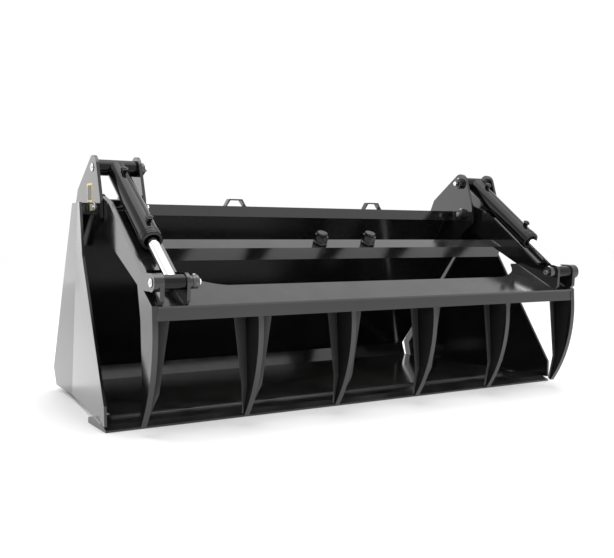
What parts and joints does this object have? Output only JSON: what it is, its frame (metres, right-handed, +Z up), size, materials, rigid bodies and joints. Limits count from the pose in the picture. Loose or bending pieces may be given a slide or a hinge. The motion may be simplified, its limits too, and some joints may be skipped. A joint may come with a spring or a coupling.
{
  "type": "skid steer grapple bucket",
  "caption": "Wide steel loader bucket with a hinged hydraulic grapple: curved tines on two arms, moved by two cylinders, and a quick coupler on the back.",
  "frame": {"origin": "on the ground under the middle of the bucket, on the bottom of the middle wear runner", "axes": "+X to the right seen from the mouth, across the bucket; +Y from the mouth towards the loader; +Z up"},
  "size_m": [2.1476, 1.2888, 0.982],
  "materials": {
    "bucket_paint": "gloss black paint",
    "grapple_paint": "gloss black paint",
    "cylinder_paint": "semi-gloss black paint",
    "rod_chrome": "polished chrome",
    "pin_steel": "bare turned steel, zinc plated",
    "fitting_steel": "plated hex fitting"
  },
  "bodies": {
    "bucket": {"cutting_edge": "bucket_paint", "bucket_shell": "bucket_paint", "top_rail": "bucket_paint", "wear_runners": "bucket_paint", "hose_guides": "bucket_paint", "coupler_plate": "bucket_paint", "coupler_top_lip": "bucket_paint", "coupler_foot": "bucket_paint", "coupler_ribs": "bucket_paint", "bucket_pin_bolts": "pin_steel", "side_plate_left": "bucket_paint", "side_plate_right": "bucket_paint", "pivot_pin_left": "pin_steel", "pivot_pin_right": "pin_steel", "ram_base_pin_left": "pin_steel", "ram_base_pin_right": "pin_steel", "hinge_plate_left_inner": "bucket_paint", "hinge_plate_left_outer": "bucket_paint", "hinge_plate_right_inner": "bucket_paint", "hinge_plate_right_outer": "bucket_paint"},
    "grapple": {"grapple_plate": "grapple_paint", "beam_flange": "grapple_paint", "cross_beam": "grapple_paint", "hydraulic_ports": "fitting_steel", "clevis_bosses": "grapple_paint", "middle_tine_wings": "grapple_paint", "end_tine_wings": "grapple_paint", "grapple_pin_bolts": "pin_steel", "arm_plate_left_inner": "grapple_paint", "arm_plate_left_outer": "grapple_paint", "arm_plate_right_inner": "grapple_paint", "arm_plate_right_outer": "grapple_paint", "clevis_ear_left": "grapple_paint", "clevis_ear_right": "grapple_paint", "arm_cover_left": "grapple_paint", "arm_cover_right": "grapple_paint", "pivot_tube_left": "grapple_paint", "pivot_tube_right": "grapple_paint", "rod_pin_left": "pin_steel", "rod_pin_right": "pin_steel", "tine_2": "grapple_paint", "tine_3": "grapple_paint", "tine_4": "grapple_paint", "tine_5": "grapple_paint"},
    "barrel_left": {"ram_tube_left": "cylinder_paint", "ram_base_left": "cylinder_paint", "ram_gland_left": "cylinder_paint", "ram_ports_left": "cylinder_paint"},
    "rod_left": {"ram_rod_left": "rod_chrome", "ram_piston_left": "pin_steel", "ram_rod_eye_left": "cylinder_paint"},
    "barrel_right": {"ram_tube_right": "cylinder_paint", "ram_base_right": "cylinder_paint", "ram_gland_right": "cylinder_paint", "ram_ports_right": "cylinder_paint"},
    "rod_right": {"ram_rod_right": "rod_chrome", "ram_piston_right": "pin_steel", "ram_rod_eye_right": "cylinder_paint"}
  },
  "joints": [
    {"name": "grapple_pivot", "type": "hinge", "parent": "bucket", "child": "grapple", "pos_m": [0, -0.152, 0.787], "axis": [-1, 0, 0], "range_deg": [0, 50]},
    {"name": "barrel_left_swing", "type": "hinge", "parent": "bucket", "child": "barrel_left", "pos_m": [-0.9075, -0.132, 0.936], "axis": [-1, 0, 0], "range_deg": [-1, 46.5]},
    {"name": "rod_left_swing", "type": "hinge", "parent": "grapple", "child": "rod_left", "pos_m": [-0.9075, -0.696, 0.523], "axis": [-1, 0, 0], "range_deg": [-5.5, 1]},
    {"name": "barrel_right_swing", "type": "hinge", "parent": "bucket", "child": "barrel_right", "pos_m": [0.9075, -0.132, 0.936], "axis": [-1, 0, 0], "range_deg": [-1, 46.5]},
    {"name": "rod_right_swing", "type": "hinge", "parent": "grapple", "child": "rod_right", "pos_m": [0.9075, -0.696, 0.523], "axis": [-1, 0, 0], "range_deg": [-5.5, 1]}
  ],
  "couplings": [
    {"joint": "barrel_left_swing", "follows": "grapple_pivot", "ratio": 0.9045},
    {"joint": "rod_left_swing", "follows": "grapple_pivot", "ratio": -0.0955},
    {"joint": "barrel_right_swing", "follows": "grapple_pivot", "ratio": 0.9045},
    {"joint": "rod_right_swing", "follows": "grapple_pivot", "ratio": -0.0955}
  ]
}
